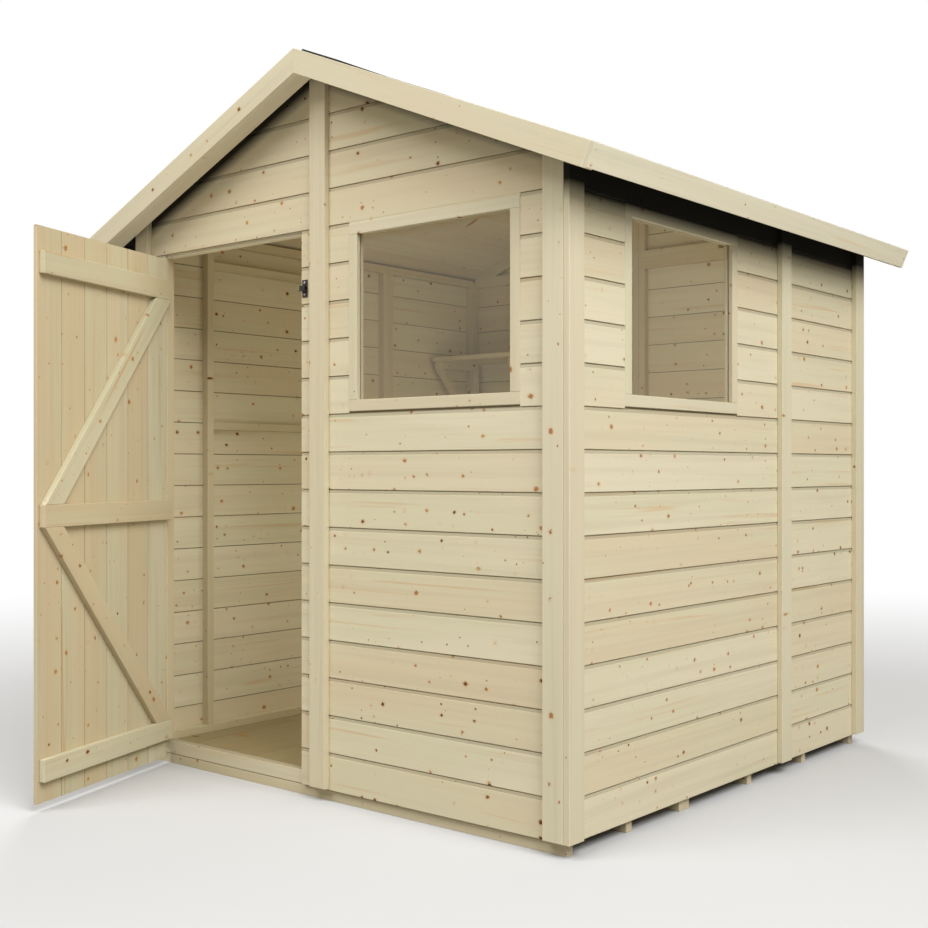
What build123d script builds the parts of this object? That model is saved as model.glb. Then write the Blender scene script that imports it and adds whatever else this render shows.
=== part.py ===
from build123d import *
from math import cos, sin, tan, radians
import os

os.makedirs("parts", exist_ok=True)

# Garden shed with a gable roof, a hinged plank door and two fixed windows.
# X runs across the front to the right, Y from the front to the back, Z up from the ground.

# Walls, measured over the outside of the boards
wall_width = 1798.0
wall_depth = 1798.0
wall_height = 1823.0
cladding = 12.0
batten = 28.0
top_rail_height = 44.0
panel_gap = 1.0
cladding_bottom = 35.0
rear_panel_share = 1 / 3
half_share = 0.5

# Floor
bearer_height = 30.0
bearer_width = 28.0
floor_thick = 16.0
floor_inset = 1.0
front_bay_shares = (0.0, 0.5, 1.0)
rear_bay_shares = (0.0, 1 / 3, 2 / 3, 1.0)

# Roof
roof_pitch = 22.9
deck_thick = 13.0
felt_thick = 3.0
eaves_reach = 146.0
verge_reach = 113.0
barge_height = 67.0
barge_thick = 19.0
fascia_height = 64.0
verge_batten_width = 52.0
rafter_height = 44.0
gable_rail_reach = 362.0
ridge_felt_reach = 150.0
felt_inset = 18.0

# Corner trims and cover strips
trim_width = 67.0
trim_thick = 19.0
trim_bottom = 39.0

# Doorway and door
hinge_side_width = 137.0
latch_side_width = 86.0
lintel_drop = 113.0
head_rail_lap = 10.0
door_gap = 8.0
door_bottom = 24.0
door_head_gap = 19.0
door_thick = 12.0
ledge_height = 66.0
ledge_thick = 20.0
low_ledge_inset = 95.0
top_ledge_inset = 106.0
middle_ledge_share = 0.5
ledge_setback = 10.0
brace_width = 64.0
brace_setback = 4.0
rest_opening = 70.4

# Door hinges and bolt
pin_radius = 2.5
pin_clearance = 0.08
barrel_radius = 5.5
barrel_stand_off = 6.0
barrel_offset = 2.5
knuckle_height = 30.0
knuckle_gap = 0.5
hinge_leaf_thick = 2.5
plate_width = 38.0
strap_length = 300.0
strap_tip_height = 18.0
bolt_drop = 158.0
bolt_plate_length = 84.0
bolt_plate_height = 34.0
bolt_radius = 5.0
bolt_guide_length = 12.0
bolt_guide_wall = 3.0
bolt_setback = 20.0
bolt_sink = 1.0
bolt_guide_inset = 5.0
bolt_knob_height = 16.0
keep_width = 22.0
keep_height = 52.0
keep_inset = 5.0
keep_clearance = 0.6

# Windows, measured inside the trims
window_width = 564.0
window_height = 482.0
window_head_drop = 38.0
side_window_inset = 580.0
window_trim_width = 33.0
window_trim_proud = 2.0
pane_thick = 4.0
pane_clearance = 1.0
bead_thick = 10.0
left_bay_lap = 10.0

# Shelf in the back left corner
shelf_length = 600.0
shelf_depth = 283.0
shelf_thick = 18.0
shelf_headroom = 328.0
bracket_drop = 300.0
bracket_front_inset = 14.0
brace_thick = 24.0

# One length that carries a cut well past the piece being cut
overrun = 50.0

# Derived positions
pitch = radians(roof_pitch)
half_width = wall_width * half_share
half_depth = wall_depth * half_share
ridge_height = wall_height + half_width * tan(pitch) + deck_thick / cos(pitch)
frame_x = half_width - cladding
frame_y = half_depth - cladding
inner_x = frame_x - batten
inner_y = frame_y - batten
floor_bottom = bearer_height
floor_top = floor_bottom + floor_thick
rail_top = floor_top + batten
slope_length = (half_width + eaves_reach) / cos(pitch)
deck_length = slope_length - barge_thick
barge_y = half_depth + verge_reach
barge_back_y = barge_y - barge_thick
panel_split = half_depth - wall_depth * rear_panel_share - panel_gap * half_share
half_gap = panel_gap * half_share
doorway_left = -half_width + hinge_side_width
doorway_right = -latch_side_width
lintel_board_bottom = wall_height - lintel_drop
head_rail_bottom = lintel_board_bottom - head_rail_lap
door_top = lintel_board_bottom - door_head_gap
low_ledge = door_bottom + low_ledge_inset
top_ledge = door_top - top_ledge_inset
middle_ledge = low_ledge + (top_ledge - low_ledge) * middle_ledge_share
ledge_centres = (low_ledge, middle_ledge, top_ledge)
bolt_centre = door_top - bolt_drop
window_top = lintel_board_bottom - window_head_drop
window_bottom = window_top - window_height
strip_half = trim_width * half_share
trim_x = (half_width - trim_width, half_width)
front_window_centre = (strip_half + trim_x[0]) * half_share
side_window_centre = -half_depth + side_window_inset


def block(x_range, y_range, z_range):
    """A square timber or slab between three pairs of limits."""
    size = [high - low for low, high in (x_range, y_range, z_range)]
    corner = Pos(x_range[0], y_range[0], z_range[0])
    return corner * Box(*size, align=(Align.MIN, Align.MIN, Align.MIN))


def prism(outline, y_range):
    """A piece with its outline in the plane of the gable, running from front to back."""
    face = make_face(Polyline(*outline, close=True))
    return extrude(Plane.XZ.offset(-y_range[0]) * face, amount=y_range[0] - y_range[1])


def mirrored(solids):
    return [mirror(solid, about=Plane.YZ) for solid in solids]


def reversed_ends(solids):
    return [mirror(solid, about=Plane.XZ) for solid in solids]


def roof_z(x, below):
    """Height of the roof at a distance x from the ridge, a depth square to the slope below its deck."""
    return ridge_height - x * tan(pitch) - below / cos(pitch)


def slope_point(along, below):
    """Point of the right slope at a length down from the ridge and a depth below the deck top."""
    x = along * cos(pitch) - below * sin(pitch)
    z = ridge_height - along * sin(pitch) - below * cos(pitch)
    return (x, z)


def roof_strip(above, below, length, y_range, start=0.0):
    """Board of the right slope, cut plumb at the ridge and square at its lower end."""
    outline = [
        (start, roof_z(start, above)),
        slope_point(length, above),
        slope_point(length, below),
        (start, roof_z(start, below)),
    ]
    return prism(outline, y_range)


def under_roof(x_range, y_range, bottom):
    """Upright slab on the right half whose top is cut to the underside of the roof deck."""
    low, high = x_range
    outline = [
        (low, bottom),
        (high, bottom),
        (high, roof_z(high, deck_thick)),
        (low, roof_z(low, deck_thick)),
    ]
    return prism(outline, y_range)


def save(name, solids):
    whole = Compound(children=list(solids)) if len(solids) > 1 else solids[0]
    export_step(whole, os.path.join("parts", name + ".step"))


# Bearers run from side to side under two floor panels that meet on a pair of bearers.
floor_x = frame_x - floor_inset
floor_y = frame_y - floor_inset
floor_split = -panel_split - half_gap
front_run = (-floor_y, floor_split - half_gap)
rear_run = (floor_split + half_gap, floor_y)
bearers = []
for run, shares in ((front_run, front_bay_shares), (rear_run, rear_bay_shares)):
    for share in shares:
        start = run[0] + (run[1] - run[0] - bearer_width) * share
        bearers.append(
            block((-floor_x, floor_x), (start, start + bearer_width), (0, bearer_height))
        )
save("floor_bearers", bearers)
save(
    "floor_panels",
    [block((-floor_x, floor_x), run, (floor_bottom, floor_top)) for run in (front_run, rear_run)],
)

# Windows: each has an opening inside a bay, and the bay is cut out of the boards for the trims.
window_z = (window_bottom, window_top)
front_window_x = (
    front_window_centre - window_width * half_share,
    front_window_centre + window_width * half_share,
)
side_window_y = (
    side_window_centre - window_width * half_share,
    side_window_centre + window_width * half_share,
)
front_face = (-half_depth, -frame_y)
back_face = (frame_y, half_depth)
front_bay = (front_window_x[0] - window_trim_width, front_window_x[1] + window_trim_width)
side_bay = (side_window_y[0] - window_trim_width, side_window_y[1] + window_trim_width)
bay_z = (window_bottom - window_trim_width, window_top + window_trim_width)
front_hole = block(front_bay, (-half_depth - overrun, -frame_y + overrun), bay_z)
side_hole = block((frame_x - overrun, half_width + overrun), side_bay, bay_z)

# Boards of the front, split beside and over the doorway.
gable_half = under_roof((half_gap, half_width), front_face, cladding_bottom)
below_lintel = (cladding_bottom, lintel_board_bottom)
save("front_wall_hinge_side", [block((-half_width, doorway_left), front_face, below_lintel)])
save("front_wall_latch_side", [block((doorway_right, -half_gap), front_face, below_lintel)])
over_door = under_roof((half_gap, half_width), front_face, lintel_board_bottom)
save("front_wall_over_door", mirrored([over_door]))
save("front_wall_window_side", [gable_half - front_hole])

# Boards of the back gable and of the sides.
back_half = under_roof((half_gap, half_width), back_face, cladding_bottom)
save("back_wall_right", [back_half])
save("back_wall_left", mirrored([back_half]))
front_panel_y = (-frame_y, panel_split - half_gap)
rear_panel_y = (panel_split + half_gap, frame_y)
side_x = (frame_x, half_width)
side_front = under_roof(side_x, front_panel_y, cladding_bottom)
side_rear = under_roof(side_x, rear_panel_y, cladding_bottom)
save("right_wall_front", [side_front - side_hole])
save("right_wall_rear", [side_rear])
save("left_wall_front", mirrored([side_front]))
save("left_wall_rear", mirrored([side_rear]))

# Framing rails. The bottom rail of the front runs through the doorway as its threshold.
front_frame = (-frame_y, -inner_y)
back_frame = (inner_y, frame_y)
bottom_rail_z = (floor_top, rail_top)
tie_top = roof_z(inner_x, deck_thick)
tie_bottom = tie_top - top_rail_height
half_rail_x = (half_gap, frame_x)
half_tie_x = (half_gap, inner_x)
gable_rail_x = (half_gap, gable_rail_reach)
gable_rail_z = (tie_top, tie_top + batten)
end_rails = []
for frame in (front_frame, back_frame):
    right_rails = [
        block(half_rail_x, frame, bottom_rail_z),
        block(half_tie_x, frame, (tie_bottom, tie_top)),
        block(gable_rail_x, frame, gable_rail_z),
    ]
    end_rails += right_rails + mirrored(right_rails)
head_rail_z = (head_rail_bottom, head_rail_bottom + batten)
end_rails.append(block((doorway_left, doorway_right), front_frame, head_rail_z))
sill_rail_z = (bay_z[0] - batten, bay_z[0])
window_head_z = (bay_z[1], bay_z[1] + batten)
left_bay = (side_window_y[0] - left_bay_lap, side_window_y[1] + left_bay_lap)
end_rails += [block(front_bay, front_frame, z_range) for z_range in (sill_rail_z, window_head_z)]
save("front_and_back_rails", end_rails)

side_frame = (inner_x, frame_x)
front_rail_y = (-inner_y, panel_split - half_gap)
rear_rail_y = (panel_split + half_gap, inner_y)
top_rail_outline = [
    (inner_x, tie_bottom),
    (frame_x, tie_bottom),
    (frame_x, roof_z(frame_x, deck_thick)),
    (inner_x, tie_top),
]
side_rails = []
for run in (front_rail_y, rear_rail_y):
    pair = [block(side_frame, run, bottom_rail_z), prism(top_rail_outline, run)]
    side_rails += pair + mirrored(pair)
for z_range in (sill_rail_z, window_head_z):
    side_rails.append(block(side_frame, side_bay, z_range))
    side_rails += mirrored([block(side_frame, left_bay, z_range)])
save("side_rails", side_rails)

# Framing studs
stud_z = (rail_top, tie_bottom)
corner_post = block(side_frame, front_frame, (rail_top, roof_z(frame_x, deck_thick)))
centre_stud = block((half_gap, half_gap + batten), front_frame, stud_z)
king_post_x = (half_gap, half_gap + batten)
king_post_outline = [
    (king_post_x[0], gable_rail_z[1]),
    (king_post_x[1], gable_rail_z[1]),
    (king_post_x[1], roof_z(king_post_x[1], deck_thick + rafter_height)),
    (king_post_x[0], roof_z(king_post_x[0], deck_thick + rafter_height)),
]
king_post = prism(king_post_outline, front_frame)
front_posts = [corner_post, centre_stud, king_post]
mid_stud_x = (front_window_centre, front_window_centre + batten)
mid_stud = block(mid_stud_x, back_frame, stud_z)
end_studs = front_posts + mirrored(front_posts) + reversed_ends(front_posts)
end_studs += mirrored(reversed_ends(front_posts)) + [mid_stud] + mirrored([mid_stud])
front_stud_starts = (
    doorway_left - batten,
    doorway_right,
    front_bay[0] - batten,
    front_bay[1],
)
end_studs += [block((x, x + batten), front_frame, stud_z) for x in front_stud_starts]
save("front_and_back_studs", end_studs)

panel_stud_starts = (
    front_rail_y[0],
    front_rail_y[1] - batten,
    rear_rail_y[0],
    rear_rail_y[1] - batten,
)


def side_studs(bay):
    """Studs of the right side, with a pair at the ends of its window bay."""
    starts = panel_stud_starts + (bay[0] - batten, bay[1])
    return [block(side_frame, (y, y + batten), stud_z) for y in starts]


save("side_studs", side_studs(side_bay) + mirrored(side_studs(left_bay)))

# Gable rafters sit on the tie rails and carry the deck at the front and at the back.
rafter_foot = (ridge_height - (deck_thick + rafter_height) / cos(pitch) - tie_top) / tan(pitch)
rafter_outline = [
    (half_gap, roof_z(half_gap, deck_thick)),
    (inner_x, tie_top),
    (rafter_foot, tie_top),
    (half_gap, roof_z(half_gap, deck_thick + rafter_height)),
]
rafters = [prism(rafter_outline, front_frame), prism(rafter_outline, back_frame)]
save("gable_rafters", rafters + mirrored(rafters))

# Roof deck, felt, bargeboards, fascias and the battens behind the bargeboards.
deck_right = roof_strip(0, deck_thick, deck_length, (-barge_back_y, barge_back_y))
save("roof_deck_right", [deck_right])
save("roof_deck_left", mirrored([deck_right]))
felt_y = (felt_inset - barge_back_y, barge_back_y - felt_inset)
felt_right = roof_strip(-felt_thick, 0, deck_length, felt_y)
save("roof_felt_right", [felt_right])
save("roof_felt_left", mirrored([felt_right]))
ridge_strip = roof_strip(-felt_thick - felt_thick, -felt_thick, ridge_felt_reach, felt_y)
save("ridge_felt", [ridge_strip + mirrored([ridge_strip])[0]])
front_barge = roof_strip(0, barge_height, slope_length, (-barge_y, -barge_back_y))
right_barges = [front_barge] + reversed_ends([front_barge])
save("bargeboards_right", right_barges)
save("bargeboards_left", mirrored(right_barges))
fascia_outline = [
    slope_point(deck_length, 0),
    slope_point(slope_length, 0),
    slope_point(slope_length, fascia_height),
    slope_point(deck_length, fascia_height),
]
fascia = prism(fascia_outline, (-barge_back_y, barge_back_y))
save("eaves_fascias", [fascia] + mirrored([fascia]))
verge_batten_y = (-barge_back_y, -barge_back_y + verge_batten_width)
verge_batten = roof_strip(deck_thick, barge_height, deck_length, verge_batten_y, half_gap)
right_verges = [verge_batten] + reversed_ends([verge_batten])
save("verge_battens", right_verges + mirrored(right_verges))

# Corner trims: each side trim covers the edge of the front or back trim beside it.
trim_y = (-half_depth - trim_thick, -half_depth)
front_trim = under_roof(trim_x, trim_y, trim_bottom)
front_trims = [front_trim] + mirrored([front_trim])
save("front_corner_trims", front_trims)
save("back_corner_trims", reversed_ends(front_trims))
side_trim_x = (half_width, half_width + trim_thick)
side_trim_y = (-half_depth - trim_thick, -half_depth - trim_thick + trim_width)
side_trim = under_roof(side_trim_x, side_trim_y, trim_bottom)
side_trims = [side_trim] + mirrored([side_trim])
save("side_corner_trims", side_trims + reversed_ends(side_trims))

# Cover strips over the panel joints
strip_outline = [
    (-strip_half, trim_bottom),
    (strip_half, trim_bottom),
    (strip_half, roof_z(strip_half, deck_thick)),
    (0, roof_z(0, deck_thick)),
    (-strip_half, roof_z(strip_half, deck_thick)),
]
end_strip = prism(strip_outline, trim_y)
split_strip_y = (panel_split - strip_half, panel_split + strip_half)
side_strip = under_roof(side_trim_x, split_strip_y, trim_bottom)
save("cover_strips", [end_strip] + reversed_ends([end_strip]) + [side_strip] + mirrored([side_strip]))

# Window trims set into the boards, panes behind them, and beads that hold the panes from inside
head_trim_z = (window_top, bay_z[1])
sill_trim_z = (bay_z[0], window_bottom)
front_trim_y = (-half_depth - window_trim_proud, -frame_y)
side_window_trim_x = (frame_x, half_width + window_trim_proud)
upright_trims = [
    block((front_bay[0], front_window_x[0]), front_trim_y, window_z),
    block((front_window_x[1], front_bay[1]), front_trim_y, window_z),
    block(side_window_trim_x, (side_bay[0], side_window_y[0]), window_z),
    block(side_window_trim_x, (side_window_y[1], side_bay[1]), window_z),
]
save("window_upright_trims", upright_trims)
level_trims = []
for z_range in (head_trim_z, sill_trim_z):
    level_trims.append(block(front_bay, front_trim_y, z_range))
    level_trims.append(block(side_window_trim_x, side_bay, z_range))
save("window_head_and_sill_trims", level_trims)


def inset(limits, amount):
    return (limits[0] + amount, limits[1] - amount)


pane_z = inset(bay_z, pane_clearance)
front_pane_y = (-frame_y, -frame_y + pane_thick)
side_pane_x = (frame_x - pane_thick, frame_x)
panes = [
    block(inset(front_bay, pane_clearance), front_pane_y, pane_z),
    block(side_pane_x, inset(side_bay, pane_clearance), pane_z),
]
save("window_panes", panes)
front_bead_y = (front_pane_y[1], front_pane_y[1] + bead_thick)
side_bead_x = (side_pane_x[0] - bead_thick, side_pane_x[0])
front_bead = block(front_bay, front_bead_y, bay_z)
front_bead -= block(front_window_x, inset(front_bead_y, -overrun), window_z)
side_bead = block(side_bead_x, side_bay, bay_z)
side_bead -= block(inset(side_bead_x, -overrun), side_window_y, window_z)
save("window_beads", [front_bead, side_bead])

# Shelf with two triangular brackets: an arm, an upright and a sloping brace each
shelf_x = (-inner_x, -inner_x + shelf_length)
shelf_y = (inner_y - shelf_depth, inner_y)
shelf_top = tie_bottom - shelf_headroom
shelf_bottom = shelf_top - shelf_thick
save("shelf", [block(shelf_x, shelf_y, (shelf_bottom, shelf_top))])
bracket_starts = (-inner_x, -mid_stud_x[1])
arm_y = (shelf_y[0] + bracket_front_inset, inner_y)
arm_z = (shelf_bottom - batten, shelf_bottom)
upright_y = (inner_y - batten, inner_y)
upright_z = (shelf_bottom - bracket_drop, arm_z[0])
arms = [block((x, x + batten), arm_y, arm_z) for x in bracket_starts]
uprights = [block((x, x + batten), upright_y, upright_z) for x in bracket_starts]
brace_run = upright_y[0] - arm_y[0]
brace_drop = arm_z[0] - upright_z[0]
brace_cut = brace_thick * (brace_run**2 + brace_drop**2) ** half_share
brace_outline = [
    (arm_y[0], arm_z[0]),
    (arm_y[0] + brace_cut / brace_drop, arm_z[0]),
    (upright_y[0], upright_z[0] + brace_cut / brace_run),
    (upright_y[0], upright_z[0]),
]
brace_face = make_face(Polyline(*brace_outline, close=True))
braces = [extrude(Plane.YZ.offset(x) * brace_face, amount=batten) for x in bracket_starts]
save("shelf_bracket_arms", arms)
save("shelf_bracket_uprights", uprights)
save("shelf_bracket_braces", braces)

# Door, drawn shut and then swung open about the hinge pins to the resting angle
door_x = (doorway_left + door_gap, doorway_right - door_gap)
door_y = (-half_depth, -half_depth + door_thick)
hinge_x = doorway_left + barrel_offset
hinge_y = -half_depth - barrel_stand_off
hinge_axis = Axis((hinge_x, hinge_y, 0), (0, 0, 1))


def swung(solids):
    return [solid.rotate(hinge_axis, -rest_opening) for solid in solids]


save("door_boards", swung([block(door_x, door_y, (door_bottom, door_top))]))
ledge_y = (door_y[1], door_y[1] + ledge_thick)
ledge_half = ledge_height * half_share
ledge_x = (door_x[0], door_x[1] - ledge_setback)
ledges = [block(ledge_x, ledge_y, (z - ledge_half, z + ledge_half)) for z in ledge_centres]
save("door_ledges", swung(ledges))


def door_brace(bottom, top, rising):
    """Sloping brace between two ledges, cut level to sit on each of them."""
    hinge_end = door_x[0] + brace_setback
    free_end = ledge_x[1] - brace_setback
    slope_run = free_end - hinge_end - brace_width
    stretch = ((top - bottom) ** 2 + slope_run**2) ** half_share / (top - bottom)
    seat = brace_width * stretch
    low, high = (free_end - seat, hinge_end) if rising else (hinge_end, free_end - seat)
    outline = [(low, bottom), (low + seat, bottom), (high + seat, top), (high, top)]
    return prism(outline, ledge_y)


upper_brace = door_brace(ledge_centres[1] + ledge_half, ledge_centres[2] - ledge_half, True)
lower_brace = door_brace(ledge_centres[0] + ledge_half, ledge_centres[1] - ledge_half, False)
save("door_braces", swung([upper_brace, lower_brace]))

# Tee hinges: a plate with two knuckles and the pin on the wall, a tapered strap with one on the door
leaf_y = (-half_depth - hinge_leaf_thick, -half_depth)
knuckle_half = knuckle_height * half_share
plates = []
straps = []
for centre in ledge_centres:
    plate_z = (centre - knuckle_half - knuckle_height, centre + knuckle_half + knuckle_height)
    outer_gap = knuckle_half + knuckle_gap
    plate = block((hinge_x - plate_width, hinge_x), leaf_y, plate_z)
    plate -= block(
        (hinge_x - barrel_radius - knuckle_gap, hinge_x + overrun),
        (leaf_y[0] - overrun, leaf_y[1] + overrun),
        (centre - outer_gap, centre + outer_gap),
    )
    pin_length = plate_z[1] - plate_z[0]
    plate += Pos(hinge_x, hinge_y, centre) * Cylinder(pin_radius, pin_length)
    for low, high in ((plate_z[0], centre - outer_gap), (centre + outer_gap, plate_z[1])):
        middle = (low + high) * half_share
        plate += Pos(hinge_x, hinge_y, middle) * Cylinder(barrel_radius, high - low)
    plates.append(plate)
    strap_outline = [
        (hinge_x, centre - knuckle_half),
        (door_x[0] + strap_length, centre - strap_tip_height * half_share),
        (door_x[0] + strap_length, centre + strap_tip_height * half_share),
        (hinge_x, centre + knuckle_half),
    ]
    strap = prism(strap_outline, leaf_y)
    strap += Pos(hinge_x, hinge_y, centre) * Cylinder(barrel_radius, knuckle_height)
    strap -= Pos(hinge_x, hinge_y, centre) * Cylinder(pin_radius + pin_clearance, knuckle_height + overrun)
    straps.append(strap)
save("hinge_plates", plates)
save("hinge_straps", swung(straps))

# Door bolt, drawn back, and its keep on the boards beside the doorway
bolt_end = door_x[1] - bolt_setback
bolt_plate_x = (bolt_end - bolt_plate_length, bolt_end)
bolt_half = bolt_plate_height * half_share
bolt_y = leaf_y[0] - bolt_radius + bolt_sink
bolt = block(bolt_plate_x, leaf_y, (bolt_centre - bolt_half, bolt_centre + bolt_half))
rod = Cylinder(bolt_radius, bolt_plate_length, align=(Align.CENTER, Align.CENTER, Align.MIN))
bolt += Pos(bolt_plate_x[0], bolt_y, bolt_centre) * Rot(0, 90, 0) * rod
guide_reach = bolt_radius + bolt_guide_wall
guide_z = (bolt_centre - guide_reach, bolt_centre + guide_reach)
guide_y = (bolt_y - guide_reach, leaf_y[1])
guide_run = inset(bolt_plate_x, bolt_guide_inset)
for start in (guide_run[0], guide_run[1] - bolt_guide_length):
    bolt += block((start, start + bolt_guide_length), guide_y, guide_z)
knob_x = (bolt_plate_x[0] + bolt_plate_x[1]) * half_share
knob = Cylinder(bolt_radius, bolt_knob_height, align=(Align.CENTER, Align.CENTER, Align.MIN))
bolt += Pos(knob_x, bolt_y, bolt_centre) * Rot(90, 0, 0) * knob
save("door_bolt", swung([bolt]))
keep_x = (doorway_right + keep_inset, doorway_right + keep_inset + keep_width)
keep_half = keep_height * half_share
keep = block(keep_x, leaf_y, (bolt_centre - keep_half, bolt_centre + keep_half))
keep += block(keep_x, guide_y, guide_z)
keep_bore = Cylinder(bolt_radius + keep_clearance, keep_width + overrun)
keep_middle = (keep_x[0] + keep_x[1]) * half_share
keep -= Pos(keep_middle, bolt_y - keep_clearance, bolt_centre) * Rot(0, 90, 0) * keep_bore
save("bolt_keep", [keep])
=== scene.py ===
import math
import random

import bmesh
import bpy
import numpy as np
from mathutils import Matrix, Vector


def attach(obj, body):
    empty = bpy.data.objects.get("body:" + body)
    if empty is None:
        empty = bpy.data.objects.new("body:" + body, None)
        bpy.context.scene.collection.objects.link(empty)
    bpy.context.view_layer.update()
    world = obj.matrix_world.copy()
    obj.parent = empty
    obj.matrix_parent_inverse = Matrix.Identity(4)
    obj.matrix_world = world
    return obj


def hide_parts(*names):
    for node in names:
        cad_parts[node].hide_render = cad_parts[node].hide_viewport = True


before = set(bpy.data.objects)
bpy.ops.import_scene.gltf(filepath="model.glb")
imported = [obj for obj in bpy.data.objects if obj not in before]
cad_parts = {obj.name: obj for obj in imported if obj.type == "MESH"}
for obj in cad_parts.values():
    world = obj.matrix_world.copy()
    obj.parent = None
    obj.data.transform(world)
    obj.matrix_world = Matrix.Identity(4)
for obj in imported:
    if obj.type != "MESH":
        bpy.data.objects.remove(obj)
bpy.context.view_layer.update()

# Shed sizes in metres, in the frame of the solids
half_width = 0.899
half_depth = 0.899
cladding = 0.012
stud_depth = 0.028
frame_face = half_width - cladding
inner_face = frame_face - stud_depth
board_bottom = 0.035
lip_bottom = 0.0320
board_pitch = 0.1116667
lintel_row = 15
side_rows = 16
all_rows = 20
half_gap = 0.0005
panel_split = 0.2991667
doorway = (-0.762, -0.086)
window_z = (1.190, 1.672)
front_window = (0.15075, 0.71475)
side_window = (-0.601, -0.037)
bay_lap = 0.033
front_bay = (front_window[0] - bay_lap, front_window[1] + bay_lap)
side_bay = (side_window[0] - bay_lap, side_window[1] + bay_lap)
bay_z = (1.157, 1.705)
pane_depth = 0.004
bead_depth = 0.010
roof_pitch = math.radians(22.9)
deck_thick = 0.013
wall_height = 1.823
ridge = wall_height + half_width * math.tan(roof_pitch) + deck_thick / math.cos(roof_pitch)
eaves_overhang = 0.146
verge_overhang = 0.113
edge_board = 0.019
felt_setback = 0.018
slope_length = (half_width + eaves_overhang) / math.cos(roof_pitch)
deck_length = slope_length - edge_board
barge_y = half_depth + verge_overhang
barge_back_y = barge_y - edge_board
felt_y = barge_back_y - felt_setback
barge_height = 0.067
fascia_height = 0.064
verge_batten_width = 0.052
rafter_height = 0.044
gable_rail_reach = 0.3620
king_post_reach = 0.1
rafter_run = 1.0
side_rail_drop = 0.012
floor_board_count = 16
deck_board_count = 9
tie_top = ridge - inner_face * math.tan(roof_pitch) - deck_thick / math.cos(roof_pitch)
door_x = (-0.754, -0.094)
door_z = (0.024, 1.691)
door_face = -half_depth
plank_count = 6
ledge_thick = 0.020
ledge_half = 0.033
ledge_centres = (0.119, 0.852, 1.585)
ledge_setback = 0.010
brace_width = 0.064
brace_setback = 0.004
hinge_axis = (-0.7595, -0.905)
rest_opening = math.radians(70.4)
bolt_height = 1.533
plank_arris = 0.0018
felt_thick = 0.0009
lower_course_start = 0.52
upper_course_end = 0.60
felt_lap_top = 0.0016
cap_run = 0.15
cap_depth = (-0.0062, -0.0014)
cap_arris = 0.0005
lining_thick = 0.0016
lining_setback = 0.003
bracket_brace_width = 0.024
barge_end_cut = 0.0015

# Screws: their heads, and their places on the bolt, the keep and the hinges
screw_radius = 0.0034
screw_depth = 0.0012
screw_insets = ((0.0009, -0.0005), (0.0011, 0.0007))
leaf_thick = 0.0025
keep_screw_x = -0.070
keep_screw_rise = 0.018
bolt_screw_x = (-0.187, -0.125)
bolt_screw_rise = 0.0125
plate_screw_back = 0.026
plate_screw_steps = (-0.032, 0, 0.032)
strap_screw_steps = (0.040, 0.150, 0.270)

# Widths of eased edges, the slack in tests of place, and overlaps sawn off at the ridge
sawn_arris = 0.0015
planed_arris = 0.0012
round_arris = 0.002
fine_arris = 0.0008
felt_arris = 0.0003
near = 1e-4
ridge_gap = 0.0002
ridge_overlap = 0.02
barge_overlap = 0.04

# Board joints: drops of the cuts from a board's top, the recess at each, and the slot inside
joint_drops = (0.0122, 0.0114, 0.0029, 0.0025)
joint_recess = (0.0, 0.0010, 0.0010, 0.0054, 0.0054)
inner_slot_height = 0.0030
inner_slot_depth = 0.0036
sill_gap_depth = 0.0060

# How dark joints and gaps are, with painted shadow in the gap under a sill and painted shade on the
# threshold's top, and how pale the painted light on a bargeboard's end is, from nought to one
strip_dark = 0.32
slot_dark = 0.22
joint_gap_and_sill_shadow_dark = 0.8
plank_joint_dark = 0.9
threshold_top_painted_shade = 0.55
barge_end_painted_light = 0.55

# Heights over which painted shade darkens side boards, side strips and window heads under the
# eaves, the drops below the roof's top over which it darkens gable boards, and the painted shade
# that tones upper front boards warmer and darker
eaves_painted_shade_heights = (1.660, 1.706)
strip_painted_shade_heights = (1.666, 1.720)
head_painted_shade_heights = (1.672, 1.706)
gable_painted_shade_drops = (0.052, 0.096)
gable_painted_shade_dark = 0.95
upper_boards_painted_shade = 0.9

lot = random.Random(41)


# Modelling by hand

def clear():
    """Object mode with nothing selected."""
    if bpy.context.mode != "OBJECT":
        bpy.ops.object.mode_set(mode="OBJECT")
    bpy.ops.object.select_all(action="DESELECT")


def only(piece):
    """One piece selected and active."""
    clear()
    piece.select_set(True)
    bpy.context.view_layer.objects.active = piece


def choose(piece, kind, test):
    """Edit mode with the points, edges or faces selected that pass a test."""
    only(piece)
    bpy.ops.object.mode_set(mode="EDIT")
    bpy.ops.mesh.select_mode(type=kind)
    bpy.ops.mesh.select_all(action="DESELECT")
    shape = bmesh.from_edit_mesh(piece.data)
    parts = {"VERT": shape.verts, "EDGE": shape.edges, "FACE": shape.faces}[kind]
    for part in parts:
        if test(part):
            part.select_set(True)
    shape.select_flush_mode()
    bmesh.update_edit_mesh(piece.data)


def block(low, high):
    """A squared block between two corners, its origin at the frame's origin."""
    clear()
    low, high = Vector(low), Vector(high)
    bpy.ops.mesh.primitive_cube_add(size=1, location=(low + high) / 2, scale=high - low)
    bpy.ops.object.transform_apply(location=True, rotation=True, scale=True)
    return bpy.context.object


def ease(piece, width, test=lambda edge: True, segments=2):
    """Rounds the chosen arrises of a piece."""
    choose(piece, "EDGE", test)
    bpy.ops.mesh.bevel(offset=width, segments=segments, affect="EDGES")
    bpy.ops.object.mode_set(mode="OBJECT")
    return piece


def saw(piece, point, normal, keep_both=False):
    """Saws a piece along a plane and takes off the side that the normal points to."""
    choose(piece, "VERT", lambda vertex: True)
    bpy.ops.mesh.bisect(
        plane_co=point, plane_no=normal, clear_outer=not keep_both, use_fill=not keep_both
    )
    bpy.ops.object.mode_set(mode="OBJECT")
    return piece


def slope_normal(side):
    """The way that a roof slope faces."""
    return Vector((side * math.sin(roof_pitch), 0, math.cos(roof_pitch)))


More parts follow.
